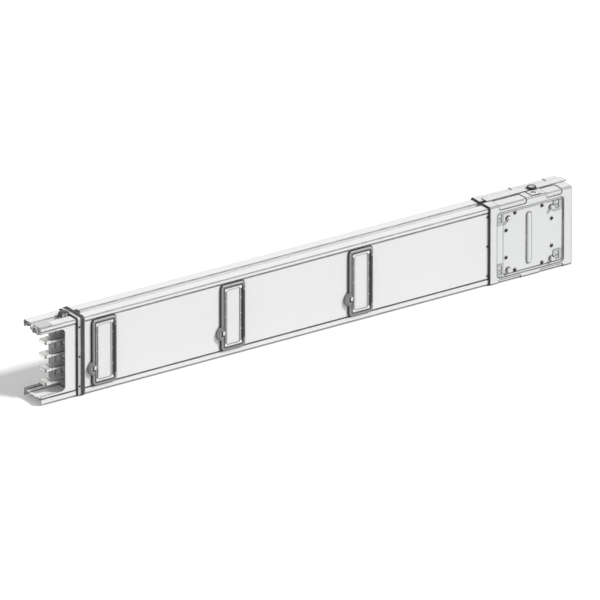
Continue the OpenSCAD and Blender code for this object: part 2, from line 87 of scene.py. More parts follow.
def awayFrom(azimuth, elevation):
    a, e = math.radians(azimuth), math.radians(elevation)
    return Vector((math.sin(a) * math.cos(e), -math.cos(a) * math.cos(e), math.sin(e)))


def makeCamera():
    back = awayFrom(camera["azimuth"], camera["elevation"])
    turn = (-back).to_track_quat("-Z", "Y")
    right, up = turn @ Vector((1, 0, 0)), turn @ Vector((0, 1, 0))
    corners = [Vector((x, y, z)) for x in (cadLow.x, cadHigh.x)
               for y in (cadLow.y, cadHigh.y) for z in (cadLow.z, cadHigh.z)]
    across = [c.dot(right) for c in corners]
    along = [c.dot(up) for c in corners]
    perPixel = (max(across) - min(across)) / camera["objectWidth"]
    target = (right * ((max(across) + min(across)) / 2 + camera["left"] * perPixel)
              + up * ((max(along) + min(along)) / 2 - camera["up"] * perPixel))
    middle = (cadLow + cadHigh) / 2
    target += back * (middle - target).dot(back)
    half = math.atan(camera["sensor"] / 2 / camera["lens"])
    distance = perPixel * camera["imageSize"] / 2 / math.tan(half)
    data = bpy.data.cameras.new("camera")
    data.lens, data.sensor_width = camera["lens"], camera["sensor"]
    data.clip_start, data.clip_end = 1.0, distance * 1.3
    ob = bpy.data.objects.new("camera", data)
    bpy.context.scene.collection.objects.link(ob)
    ob.rotation_mode = "QUATERNION"
    ob.rotation_quaternion = turn
    ob.location = target + back * distance
    bpy.context.scene.camera = ob


def makeSun(name):
    data = bpy.data.lights.new(name, "SUN")
    data.energy = light[name + "Strength"]
    data.angle = math.radians(light[name + "Angle"])
    back = awayFrom(light[name + "Azimuth"], light[name + "Elevation"])
    ob = bpy.data.objects.new(name, data)
    ob.rotation_mode = "QUATERNION"
    ob.rotation_quaternion = (-back).to_track_quat("-Z", "Y")
    bpy.context.scene.collection.objects.link(ob)


def seenByEye(tree, unseen, seen):  # one value for what the eye meets, another for bounced light
    path = tree.nodes.new("ShaderNodeLightPath")
    either = []
    for kind in ("Is Camera Ray", "Is Glossy Ray", "Is Transmission Ray"):
        if not either:
            either.append(path.outputs[kind])
            continue
        most = tree.nodes.new("ShaderNodeMath")
        most.operation = "MAXIMUM"
        tree.links.new(either[-1], most.inputs[0])
        tree.links.new(path.outputs[kind], most.inputs[1])
        either.append(most.outputs[0])
    strength = tree.nodes.new("ShaderNodeMapRange")
    strength.inputs["To Min"].default_value = unseen
    strength.inputs["To Max"].default_value = seen
    tree.links.new(either[-1], strength.inputs["Value"])
    return strength.outputs["Result"]


def makeStudio():
    scene = bpy.context.scene
    scene.view_settings.view_transform = "Standard"
    world = bpy.data.worlds.new("studio")
    scene.world = world
    world.use_nodes = True
    tree = world.node_tree
    tree.nodes.clear()
    background = tree.nodes.new("ShaderNodeBackground")
    out = tree.nodes.new("ShaderNodeOutputWorld")
    tree.links.new(seenByEye(tree, light["ambient"], 1.0), background.inputs["Strength"])
    tree.links.new(background.outputs[0], out.inputs["Surface"])
    makeSun("key")
    makeSun("fill")

    half = light["floorSize"]
    mesh = bpy.data.meshes.new("floor")
    mesh.from_pydata([(-half, -half, 0), (half, -half, 0), (half, half, 0), (-half, half, 0)],
                     [], [(0, 1, 2, 3)])
    floor = bpy.data.objects.new("floor", mesh)
    floor.location.z = cadLow.z - light["floorDrop"]
    scene.collection.objects.link(floor)
    material = bpy.data.materials.new("floor")
    material.use_nodes = True
    tree = material.node_tree
    tree.nodes.clear()
    diffuse = tree.nodes.new("ShaderNodeBsdfDiffuse")
    glow = tree.nodes.new("ShaderNodeEmission")
    both = tree.nodes.new("ShaderNodeAddShader")
    out = tree.nodes.new("ShaderNodeOutputMaterial")
    tree.links.new(seenByEye(tree, light["floorBounce"], light["floorColor"]),
                   diffuse.inputs["Color"])
    tree.links.new(seenByEye(tree, 0.0, light["floorGlow"]), glow.inputs["Strength"])
    tree.links.new(diffuse.outputs[0], both.inputs[0])
    tree.links.new(glow.outputs[0], both.inputs[1])
    tree.links.new(both.outputs[0], out.inputs["Surface"])
    mesh.materials.append(material)


makeCamera()
makeStudio()
print("studio ready")


# painted shade along edges and in corners. from and full: the softened normal's likeness to the
# face, and how open a corner is, where the colour starts and where it is strongest; patches and
# least: how unevenly it lies
edgeShade = {"samples": 4, "from": 0.994, "full": 0.95, "patches": 55.0, "least": 0.80}
cornerShade = {"samples": 6, "from": 0.92, "full": 0.50, "patches": 90.0, "least": 0.85}
plating = {"length": 13.5, "blur": 0.15, "ringOuter": 0.85, "ringInner": 0.45}  # all in mm


class Finish:
    def __init__(self, name, color, roughness, metallic=0.0):
        self.material = bpy.data.materials.new(name)
        self.material.use_nodes = True
        self.tree = self.material.node_tree
        self.shader = self.tree.nodes["Principled BSDF"]
        self.shader.inputs["Roughness"].default_value = roughness
        self.shader.inputs["Metallic"].default_value = metallic
        self.shader.inputs["Base Color"].default_value = (*color, 1)
        self.place = self.tree.nodes.new("ShaderNodeTexCoord").outputs["Object"]
        self.color = color
        self.paint = None      # what the base colour is made of so far
        self.normal = None

    def node(self, kind, **values):
        made = self.tree.nodes.new(kind)
        for key, value in values.items():
            setattr(made, key, value)
        return made

    def link(self, a, b):
        self.tree.links.new(a, b)

    def noise(self, scale, detail=2.0, rough=0.5, stretch=None):
        made = self.node("ShaderNodeTexNoise")
        made.inputs["Scale"].default_value = scale
        made.inputs["Detail"].default_value = detail
        made.inputs["Roughness"].default_value = rough
        if stretch:
            mapping = self.node("ShaderNodeMapping")
            mapping.inputs["Scale"].default_value = stretch
            self.link(self.place, mapping.inputs["Vector"])
            self.link(mapping.outputs[0], made.inputs["Vector"])
        else:
            self.link(self.place, made.inputs["Vector"])
        return made.outputs["Fac"]

    def ranged(self, value, low, high, toLow=0.0, toHigh=1.0):
        made = self.node("ShaderNodeMapRange")
        made.inputs["From Min"].default_value = low
        made.inputs["From Max"].default_value = high
        made.inputs["To Min"].default_value = toLow
        made.inputs["To Max"].default_value = toHigh
        self.link(value, made.inputs["Value"])
        return made.outputs["Result"]

    def times(self, a, b):
        made = self.node("ShaderNodeMath", operation="MULTIPLY")
        self.link(a, made.inputs[0])
        self.link(b, made.inputs[1])
        return made.outputs[0]

    def tint(self, mask, color):  # lays another colour over what is there
        mix = self.node("ShaderNodeMix", data_type="RGBA")
        if self.paint is None:
            mix.inputs["A"].default_value = (*self.color, 1)
        else:
            self.link(self.paint, mix.inputs["A"])
        mix.inputs["B"].default_value = (*color, 1)
        self.link(mask, mix.inputs["Factor"])
        self.paint = mix.outputs["Result"]
        self.link(self.paint, self.shader.inputs["Base Color"])

    def gloss(self, mask, low, high):
        self.link(self.ranged(mask, 0.25, 0.75, low, high), self.shader.inputs["Roughness"])

    def bump(self, height, distance):
        made = self.node("ShaderNodeBump")
        made.inputs["Distance"].default_value = distance
        self.link(height, made.inputs["Height"])
        if self.normal is not None:
            self.link(self.normal, made.inputs["Normal"])
        self.normal = made.outputs["Normal"]
        self.link(self.normal, self.shader.inputs["Normal"])

    def patches(self, color, scale, detail, low, high, amount, rough=0.5):
        self.tint(self.ranged(self.noise(scale, detail, rough), low, high, 0.0, amount), color)

    def uneven(self, mask, unevenness):  # weaker in places, so that no line of painted shade is even
        share = self.ranged(self.noise(unevenness["patches"], 3.0), 0.30, 0.60, unevenness["least"], 1.0)
        return self.times(mask, share)

    def wornEdges(self, width, color, amount):  # painted shade: dark lines along every fold, cut and crease, drawn as outlines
        soft = self.node("ShaderNodeBevel", samples=edgeShade["samples"])
        soft.inputs["Radius"].default_value = width
        flat = self.node("ShaderNodeNewGeometry")
        alike = self.node("ShaderNodeVectorMath", operation="DOT_PRODUCT")
        self.link(soft.outputs[0], alike.inputs[0])
        self.link(flat.outputs["True Normal"], alike.inputs[1])
        near = self.node("ShaderNodeMath", operation="MAXIMUM")
        self.link(self.ranged(alike.outputs["Value"], edgeShade["from"], edgeShade["full"], 0.0, amount),
                  near.inputs[0])
        onEdge = self.node("ShaderNodeAttribute", attribute_name="edgeBand")
        self.link(self.ranged(onEdge.outputs["Fac"], 0.0, 1.0, 0.0, amount), near.inputs[1])
        self.tint(self.uneven(near.outputs[0], edgeShade), color)

    def dustyCorners(self, reach, color, amount):  # painted shade in steps and recesses, where ambient occlusion finds them
        around = self.node("ShaderNodeAmbientOcclusion", samples=cornerShade["samples"])
        around.inputs["Distance"].default_value = reach
        near = self.ranged(around.outputs["AO"], cornerShade["from"], cornerShade["full"], 0.0, amount)
        self.tint(self.uneven(near, cornerShade), color)


def shade(color, factor):
    return tuple(min(1.0, c * factor) for c in color)


def paintFinish(name, color, gloss, peel, waves=0.0):
    f = Finish(name, color, gloss)
    f.shader.inputs["Coat Weight"].default_value = 0.15
    f.shader.inputs["Coat Roughness"].default_value = 0.25
    f.patches(shade(color, 0.965), scale=2.2, detail=3.0, low=0.40, high=0.70, amount=0.6)
    f.patches(shade(color, 0.94), scale=38.0, detail=5.0, low=0.58, high=0.80, amount=0.45,
              rough=0.6)
    f.patches(shade(color, 0.88), scale=900.0, detail=1.0, low=0.66, high=0.78, amount=0.30)
    # painted shade in steps and recesses, and painted dark outlines along edges
    f.dustyCorners(reach=4.0 * mm, color=(0.06, 0.06, 0.06), amount=0.94)
    f.wornEdges(width=2.6 * mm, color=(0.04, 0.04, 0.042), amount=0.95)
    f.gloss(f.noise(60.0, 4.0), gloss - 0.06, gloss + 0.10)
    f.bump(f.noise(620.0, 2.0), peel)
    if waves:
        f.bump(f.noise(9.0, 1.0), waves)
    return f.material


def mouldingFinish(name, color, rough, speckle, grain, edge=0.75, dust=0.92):
    f = Finish(name, color, rough)
    f.patches(shade(color, 0.93), scale=26.0, detail=4.0, low=0.42, high=0.72, amount=0.5)
    f.patches(shade(color, 1.22), scale=1500.0, detail=2.0, low=0.58, high=0.72, amount=speckle,
              rough=0.6)
    f.patches(shade(color, 0.72), scale=1900.0, detail=2.0, low=0.60, high=0.74, amount=speckle,
              rough=0.6)
    # painted shade in steps and recesses, then painted dark outlines along edges
    if dust:
        f.dustyCorners(reach=3.5 * mm, color=shade(color, 0.10), amount=dust)
    f.wornEdges(width=1.5 * mm, color=shade(color, 0.10), amount=edge)
    f.gloss(f.noise(120.0, 4.0), rough - 0.08, rough + 0.10)
    f.bump(f.noise(2600.0, 2.0), grain)
    return f.material


def rubberFinish(name, color):
    f = Finish(name, color, 0.72)
    f.patches((0.075, 0.074, 0.072), scale=70.0, detail=4.0, low=0.45, high=0.80, amount=0.7)
    f.gloss(f.noise(200.0, 3.0), 0.62, 0.85)
    f.bump(f.noise(1400.0, 3.0), 0.00008)
    return f.material


longGrain = (9.0, 900.0, 900.0)    # how fine the metal's grain is along x, y and z
evenGrain = (300.0, 300.0, 300.0)


def metalFinish(name, color, rough, streaks, dull):
    f = Finish(name, color, rough, 1.0)
    grain = f.noise(1.0, 4.0, 0.6, stretch=streaks)
    f.tint(f.ranged(grain, 0.35, 0.75, 0.0, 0.55), shade(color, 0.82))
    f.patches(dull, scale=45.0, detail=4.0, low=0.50, high=0.80, amount=0.5)
    f.gloss(grain, rough - 0.08, rough + 0.12)
    f.bump(grain, 0.00002)
    return f


def withPaintedShade(f, reach=3.0, width=1.6):  # painted shade in corners and along edges; comes last, over all other colours of the metal
    f.dustyCorners(reach=reach * mm, color=shade(f.color, 0.10), amount=0.85)
    f.wornEdges(width=width * mm, color=shade(f.color, 0.06), amount=0.92)
    return f.material


def rivetFinish(name, color):  # painted highlight: dark over the lower side of each dome, light only on its top
    f = metalFinish(name, color, rough=0.36, streaks=evenGrain, dull=(0.22, 0.225, 0.23))
    facing = f.node("ShaderNodeSeparateXYZ")
    f.link(f.node("ShaderNodeNewGeometry").outputs["Normal"], facing.inputs[0])
    # painted shade below, leaving the top of the dome as a painted highlight
    f.tint(f.ranged(facing.outputs["Z"], 0.62, 0.40, 0.0, 0.92), (0.02, 0.02, 0.021))
    return withPaintedShade(f)


def conductorFinish(name, color):
    f = metalFinish(name, color, rough=0.36, streaks=longGrain, dull=(0.60, 0.60, 0.58))
    split = f.node("ShaderNodeSeparateXYZ")
    f.link(f.place, split.inputs[0])
    x = split.outputs["X"]
    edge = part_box("conductor_1")[0].x + plating["length"] * mm
    blur = plating["blur"] * mm
    f.tint(f.ranged(x, edge + blur, edge - blur), (0.88, 0.87, 0.85))
    line = f.node("ShaderNodeMath", operation="SUBTRACT")
    line.inputs[1].default_value = edge
    f.link(x, line.inputs[0])
    away = f.node("ShaderNodeMath", operation="ABSOLUTE")
    f.link(line.outputs[0], away.inputs[0])
    f.tint(f.ranged(away.outputs[0], plating["ringOuter"] * mm, plating["ringInner"] * mm),
           (0.07, 0.07, 0.07))
    return withPaintedShade(f)


finishes = {
    "casing_paint": paintFinish("casingPaint", (0.86, 0.87, 0.86), gloss=0.42, peel=0.00005,
                                waves=0.0004),
    "joint_paint": paintFinish("jointPaint", (0.80, 0.81, 0.81), gloss=0.40, peel=0.00005),
    "tinned_conductor": conductorFinish("tinnedConductor", (0.80, 0.80, 0.79)),
    "plated_contact": withPaintedShade(metalFinish("platedContact", (0.84, 0.83, 0.80), rough=0.28,
                                         streaks=longGrain, dull=(0.66, 0.63, 0.56))),
    "support_moulding": mouldingFinish("supportMoulding", (0.42, 0.43, 0.44), rough=0.60,
                                       speckle=0.5, grain=0.00004, dust=0.35),
    "socket_moulding": mouldingFinish("socketMoulding", (0.55, 0.55, 0.54), rough=0.60,
                                      speckle=0.5, grain=0.00004),
    "seal_rubber": rubberFinish("sealRubber", (0.02, 0.02, 0.02)),
    "collar_moulding": mouldingFinish("collarMoulding", (0.30, 0.305, 0.31), rough=0.52,
                                      speckle=0.25, grain=0.00004),
    "latch_moulding": mouldingFinish("latchMoulding", (0.07, 0.07, 0.075), rough=0.45,
                                     speckle=0.25, grain=0.00004),
    "key_moulding": mouldingFinish("keyMoulding", (0.62, 0.63, 0.63), rough=0.48,
                                   speckle=0.2, grain=0.00003, edge=0.8),
    "outlet_moulding": mouldingFinish("outletMoulding", (0.30, 0.305, 0.31), rough=0.48,
                                      speckle=0.2, grain=0.00004),
    "door_moulding": mouldingFinish("doorMoulding", (0.85, 0.86, 0.85), rough=0.42,
                                    speckle=0.12, grain=0.00003, edge=0.8),
    "clip_moulding": mouldingFinish("clipMoulding", (0.60, 0.61, 0.62), rough=0.45,
                                    speckle=0.2, grain=0.00003, edge=0.8),
    "zinc_screw": withPaintedShade(metalFinish("zincScrew", (0.72, 0.73, 0.74), rough=0.34,
                                     streaks=evenGrain, dull=(0.55, 0.56, 0.58)),
                         reach=1.0, width=0.15),
    "rivet_steel": rivetFinish("rivetSteel", (0.34, 0.345, 0.35)),
}
# painted light: a pale moulding without painted corner shade, for faces that lie in shade
paleLining = mouldingFinish("paleLining", (0.85, 0.86, 0.85), rough=0.42, speckle=0.12,
                            grain=0.00003, edge=0.3, dust=0.0)
for name, ob in nodes.items():
    ob.data.materials.clear()
    ob.data.materials.append(finishes[slotOf[name]])
    for polygon in ob.data.polygons:
        polygon.material_index = 0
print("finishes ready")


edges = {  # edge radius in mm by material slot
    "casing_paint": 0.35, "joint_paint": 0.40, "tinned_conductor": 0.25, "plated_contact": 0.15,
    "support_moulding": 0.35, "socket_moulding": 0.30, "seal_rubber": 0.40,
    "collar_moulding": 0.22, "latch_moulding": 0.45, "key_moulding": 0.30,
    "outlet_moulding": 0.25, "door_moulding": 0.22, "clip_moulding": 0.25,
    "segments": 2, "sharpest": 32.0, "smoothUpTo": 35.0, "spare": 0.05,
    "foldMark": {"casing_paint": 0.85, "joint_paint": 0.75, "tinned_conductor": 0.9},
    "foldSlope": 0.985, "beadSlope": 0.80,  # flatter faces than these aren't folds
}


weldDistance = 0.003 * mm  # joins corners that belong together
seamDistance = 0.0001      # closes a turned shape, in the shape's own units


def camel(name):
    first, *rest = name.split("_")
    return first + "".join(word.capitalize() for word in rest)


def merged(name):
    shape = bmesh.new()
    shape.from_mesh(nodes[name].data)
    bmesh.ops.remove_doubles(shape, verts=shape.verts, dist=weldDistance)
    return shape


def placed(name, mesh):
    ob = bpy.data.objects.new(name, mesh)
    bpy.context.scene.collection.objects.link(ob)
    return ob


def settle(ob):  # turns what the modifiers make into the piece's own mesh
    graph = bpy.context.evaluated_depsgraph_get()
    mesh = bpy.data.meshes.new_from_object(ob.evaluated_get(graph))
    mesh.name = ob.name
    ob.modifiers.clear()
    ob.data = mesh


def evenShade(ob):
    ob.data.shade_smooth()
    ob.data.set_sharp_from_angle(angle=math.radians(edges["smoothUpTo"]))
    even = ob.modifiers.new("evenShade", "WEIGHTED_NORMAL")
    even.keep_sharp = True
    settle(ob)


def standFor(ob, name):  # the piece is shown in place of its CAD node
    ob.data.materials.clear()
    ob.data.materials.append(finishes[slotOf[name]])
    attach(ob, bodyOf[name])
    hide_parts(name)


def staysInside(ob, name):
    low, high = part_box(name)
    spare = edges["spare"] * mm
    return all(low[k] - spare <= v.co[k] <= high[k] + spare
               for v in ob.data.vertices for k in range(3))


def markEdges(ob, name):  # rounded edges, and folds in sheet, carry a mark that the finish darkens into painted shade
    band = ob.data.attributes.new("edgeBand", "FLOAT", "FACE")
    foldMark = edges["foldMark"].get(slotOf[name], 0.0)
    slope = edges["beadSlope" if "joint_plate" in name else "foldSlope"]
    for face in ob.data.polygons:
        # bends in sheet get part of the painted edge shade
        isFold = max(abs(c) for c in face.normal) < slope
        band.data[face.index].value = 1.0 if face.material_index else isFold * foldMark
        face.material_index = 0


def rounded(name):
    slot = slotOf[name]
    shape = merged(name)
    mesh = bpy.data.meshes.new(camel(name))
    shape.to_mesh(mesh)
    shape.free()
    for layer in ("custom_normal", "sharp_face"):  # they fit the frame's loose triangles only
        if layer in mesh.attributes:
            mesh.attributes.remove(mesh.attributes[layer])
    mesh.materials.append(finishes[slot])
    mesh.materials.append(finishes[slot])
    ob = placed(camel(name), mesh)
    for part in (1.0, 0.6, 0.0):  # a smaller radius, or none, where the full one throws a spike
        ob.data = mesh
        if part:
            bevel = ob.modifiers.new("edge", "BEVEL")
            bevel.width = edges[slot] * part * mm
            bevel.segments = edges["segments"]
            bevel.limit_method = "ANGLE"
            bevel.angle_limit = math.radians(edges["sharpest"])
            bevel.use_clamp_overlap = False
            bevel.loop_slide = False
            bevel.material = 1  # marks the new faces
        settle(ob)
        if staysInside(ob, name):
            break
        print("smaller edge radius on", name)
    markEdges(ob, name)
    evenShade(ob)
    standFor(ob, name)
    return ob


def solidBoxes(name):  # lowest and highest corner of each separate solid in a node
    shape = merged(name)
    shape.verts.ensure_lookup_table()
    seen, boxes = set(), []
    for start in shape.verts:
        if start.index in seen:
            continue
        reach, group = [start], []
        while reach:
            vert = reach.pop()
            if vert.index in seen:
                continue
            seen.add(vert.index)
            group.append(vert.co.copy())
            reach.extend(edge.other_vert(vert) for edge in vert.link_edges)
        boxes.append((Vector(min(c[k] for c in group) for k in range(3)),
                      Vector(max(c[k] for c in group) for k in range(3))))
    shape.free()
    return boxes


class Growth:  # a node tree with named sizes, made of plain calls
    def __init__(self, name, sizes):
        self.group = bpy.data.node_groups.new(name, "GeometryNodeTree")
        self.group.is_modifier = True
        face = self.group.interface
        face.new_socket("Geometry", in_out="INPUT", socket_type="NodeSocketGeometry")
        self.inputs = {}
        for label, value in sizes.items():
            kind = "NodeSocketInt" if isinstance(value, int) else "NodeSocketFloat"
            socket = face.new_socket(label, in_out="INPUT", socket_type=kind)
            socket.default_value = value
            self.inputs[label] = socket.identifier
        face.new_socket("Geometry", in_out="OUTPUT", socket_type="NodeSocketGeometry")
        self.start = self.group.nodes.new("NodeGroupInput")
        self.end = self.group.nodes.new("NodeGroupOutput")

    def size(self, label):
        return self.start.outputs[label]

    def add(self, kind, values=None, **settings):
        made = self.group.nodes.new(kind)
        for key, value in settings.items():
            setattr(made, key, value)
        for key, value in (values or {}).items():
            if isinstance(value, bpy.types.NodeSocket):
                self.group.links.new(value, made.inputs[key])
            else:
                made.inputs[key].default_value = value
        return made

    def math(self, operation, a, b):
        return self.add("ShaderNodeMath", {0: a, 1: b}, operation=operation).outputs[0]

    def vector(self, x=0.0, y=0.0, z=0.0):
        return self.add("ShaderNodeCombineXYZ", {0: x, 1: y, 2: z}).outputs[0]

    def choose(self, when, low, high):  # high where the test is 1, low where it is 0
        return self.math("ADD", low, self.math("MULTIPLY", when, self.math("SUBTRACT", high, low)))

    def lathe(self, columns, rows, profile):  # profile gives radius and height for each row
        sheet = self.add("GeometryNodeMeshGrid", {
            "Size X": math.tau, "Size Y": 1.0, "Vertices X": self.math("ADD", columns, 1.0),
            "Vertices Y": self.math("ADD", rows, 1.0)})
        at = self.add("GeometryNodeInputPosition").outputs[0]
        part = self.add("ShaderNodeSeparateXYZ", {0: at})
        turn = part.outputs[0]
        row = self.math("ROUND", self.math("MULTIPLY", rows,
                                           self.math("ADD", part.outputs[1], 0.5)), 0.0)
        radius, height = profile(row)
        place = self.vector(self.math("MULTIPLY", radius, self.math("COSINE", turn, 0.0)),
                            self.math("MULTIPLY", radius, self.math("SINE", turn, 0.0)), height)
        bent = self.add("GeometryNodeSetPosition",
                        {"Geometry": sheet.outputs[0], "Position": place})
        return self.add("GeometryNodeMergeByDistance",
                        {"Geometry": bent.outputs[0], "Distance": seamDistance}).outputs[0]

    def finished(self, shape, material):
        real = self.add("GeometryNodeRealizeInstances", {"Geometry": shape}).outputs[0]
        coated = self.add("GeometryNodeSetMaterial", {"Geometry": real, "Material": material})
        self.group.links.new(coated.outputs[0], self.end.inputs[0])


def spots(name, places, outward, sizes):  # points that carry a direction and a size
    mesh = bpy.data.meshes.new(name)
    mesh.from_pydata(places, [], [])
    for label, values in (("outward", outward), ("size", sizes)):
        layer = mesh.attributes.new(label, "FLOAT_VECTOR", "POINT")
        layer.data.foreach_set("vector", [c for v in values for c in v])
    return placed(name, mesh)


def grown(ob, growth, sizes):
    made = ob.modifiers.new("growth", "NODES")
    made.node_group = growth.group
    for label, value in sizes.items():
        made[growth.inputs[label]] = value
    settle(ob)
    return ob


def scattered(growth, unit):  # one unit on each point, turned outward and scaled to its size
    outward = growth.add("GeometryNodeInputNamedAttribute", {"Name": "outward"},
                         data_type="FLOAT_VECTOR").outputs[0]
    scale = growth.add("GeometryNodeInputNamedAttribute", {"Name": "size"},
                       data_type="FLOAT_VECTOR").outputs[0]
    turn = growth.add("FunctionNodeAlignRotationToVector", {"Vector": outward}, axis="Z")
    return growth.add("GeometryNodeInstanceOnPoints",
                      {"Points": growth.start.outputs[0], "Instance": unit,
                       "Rotation": turn.outputs[0], "Scale": scale}).outputs[0]


def studs(name):  # foot, outward direction and size of each solid in a node
    places, outward, sizes = [], [], []
    for low, high in solidBoxes(name):
        side = 1.0 if low.y > 0 else -1.0
        foot = low.y if side > 0 else high.y
        radius = (high.x - low.x) / 2
        places.append(((low.x + high.x) / 2, foot, (low.z + high.z) / 2))
        outward.append((0.0, side, 0.0))
        sizes.append((radius, radius, high.y - low.y))
    return places, outward, sizes


rivet = {"segments": 20, "domeRows": 8, "rim": 0.24, "stemRadius": 0.40, "stemDepth": 0.16}


def rivetGrowth():  # a head of radius 1 and height 1: rim, dome and the sunk end of its stem
    g = Growth("rivetHeads", {"Segments": rivet["segments"], "Dome rows": rivet["domeRows"],
                              "Rim height": rivet["rim"], "Stem radius": rivet["stemRadius"],
                              "Stem depth": rivet["stemDepth"]})

    def profile(row):
        onDome = g.math("GREATER_THAN", row, 1.5)
        step = g.math("DIVIDE", g.math("SUBTRACT", row, 2.0), g.size("Dome rows"))
        angle = g.math("MULTIPLY", step, math.pi / 2)
        radius = g.math("MULTIPLY", g.math("MINIMUM", row, 1.0),
                        g.choose(onDome, 1.0, g.math("COSINE", angle, 0.0)))
        rise = g.math("MULTIPLY", g.math("SUBTRACT", 1.0, g.size("Rim height")),
                      g.math("SINE", angle, 0.0))
        sunk = g.math("MULTIPLY", g.math("LESS_THAN", radius, g.size("Stem radius")),
                      g.size("Stem depth"))
        top = g.math("SUBTRACT", g.math("ADD", g.size("Rim height"), rise), sunk)
        return radius, g.choose(onDome, 0.0, top)

    head = g.lathe(g.size("Segments"), g.math("ADD", g.size("Dome rows"), 2.0), profile)
    g.finished(scattered(g, head), finishes["rivet_steel"])
    return g


def makeRivets(growth, name):
    ob = grown(spots(camel(name), *studs(name)), growth, {"Rim height": rivet["rim"]})
    standFor(ob, name)


screw = {"segments": 28, "rows": 60, "length": 7.5, "flangeRadius": 5.2, "flangeHeight": 1.4,
         "coreRadius": 3.25, "threadRise": 0.35, "threadPitch": 0.8, "chamfer": 0.5,
         "lip": 0.3, "markReach": 0.1}


def screwGrowth():  # flange, threaded post and chamfered end in mm along the screw's axis
    g = Growth("jointScrews", {"Segments": screw["segments"], "Rows": screw["rows"],
                               "Length": screw["length"], "Flange radius": screw["flangeRadius"],
                               "Flange height": screw["flangeHeight"],
                               "Core radius": screw["coreRadius"],
                               "Thread rise": screw["threadRise"],
                               "Thread pitch": screw["threadPitch"], "Chamfer": screw["chamfer"],
                               "Lip": screw["lip"]})

    def profile(row):
        inside = g.math("MULTIPLY", g.math("GREATER_THAN", row, 0.5),
                        g.math("LESS_THAN", row, g.math("ADD", g.size("Rows"), 0.5)))
        share = g.math("DIVIDE", g.math("SUBTRACT", row, 1.0),
                       g.math("SUBTRACT", g.size("Rows"), 1.0))
        height = g.math("MULTIPLY", g.size("Length"),
                        g.math("MINIMUM", g.math("MAXIMUM", share, 0.0), 1.0))
        fromTop = g.math("SUBTRACT", g.size("Length"), height)
        taper = g.math("MAXIMUM", g.math("SUBTRACT", g.size("Chamfer"), fromTop), 0.0)
        halfPitch = g.math("MULTIPLY", g.size("Thread pitch"), 0.5)
        wave = g.math("PINGPONG", height, halfPitch)
        crest = g.math("MULTIPLY", g.math("DIVIDE", wave, halfPitch), g.size("Thread rise"))
        post = g.math("SUBTRACT", g.math("ADD", g.size("Core radius"), crest), taper)
        underLip = g.math("SUBTRACT", g.size("Flange height"), height)
        cut = g.math("MAXIMUM", g.math("SUBTRACT", g.size("Lip"), underLip), 0.0)
        lip = g.math("SUBTRACT", g.size("Flange radius"), cut)
        onFlange = g.math("GREATER_THAN", underLip, -0.001)  # with the row on its very edge
        return g.math("MULTIPLY", inside, g.choose(onFlange, post, lip)), height

    body = g.lathe(g.size("Segments"), g.math("ADD", g.size("Rows"), 1.0), profile)
    g.finished(scattered(g, body), finishes["zinc_screw"])
    return g


def makeScrews(growth, name):
    places, outward, _ = studs(name)
    ob = grown(spots(camel(name), places, outward, [(mm, mm, mm)] * len(places)), growth,
               {"Length": screw["length"]})
    base = min(abs(place[1]) for place in places)
    band = ob.data.attributes.new("edgeBand", "FLOAT", "FACE")
    for face in ob.data.polygons:  # the flange carries the mark for the painted edge shade, so it shows darker than the post
        height = abs(face.center.y) - base
        band.data[face.index].value = height < (screw["flangeHeight"] + screw["markReach"]) * mm
    standFor(ob, name)


knob = {"segments": 160, "ridges": 40, "ridgeDepth": 0.45, "edge": 0.5, "dishRadius": 5.6,
        "dishDepth": 0.5, "dishSlope": 0.4, "shank": 3.0, "shankEnd": 2.4, "shankChamfer": 0.6,
        "knurlReach": 0.1}


def knurlGrowth():  # presses grooves into the widest part of a turned head
    g = Growth("knurl", {"Ridges": knob["ridges"], "Depth": knob["ridgeDepth"] * mm,
                         "Head radius": 1.0, "Middle X": 0.0, "Middle Y": 0.0})
    place = g.add("GeometryNodeInputPosition").outputs[0]
    part = g.add("ShaderNodeSeparateXYZ", {0: place})
    across = g.math("SUBTRACT", part.outputs[0], g.size("Middle X"))
    along = g.math("SUBTRACT", part.outputs[1], g.size("Middle Y"))
    radius = g.math("SQRT", g.math("ADD", g.math("MULTIPLY", across, across),
                                   g.math("MULTIPLY", along, along)), 0.0)
    turn = g.math("MULTIPLY", g.math("ARCTAN2", along, across), g.size("Ridges"))
    wave = g.math("MULTIPLY", g.math("ADD", g.math("SINE", turn, 0.0), 1.0), 0.5)
    depth = g.math("DIVIDE", g.math("MULTIPLY", g.size("Depth"), wave), radius)
    offset = g.vector(g.math("MULTIPLY", g.math("MULTIPLY", across, depth), -1.0),
                      g.math("MULTIPLY", g.math("MULTIPLY", along, depth), -1.0), 0.0)
    widest = g.math("GREATER_THAN", radius, g.math("SUBTRACT", g.size("Head radius"),
                                                       knob["knurlReach"] * mm))
    pressed = g.add("GeometryNodeSetPosition", {"Geometry": g.start.outputs[0], "Selection": widest,
                                                "Offset": offset})
    g.finished(pressed.outputs[0], finishes["zinc_screw"])
    return g


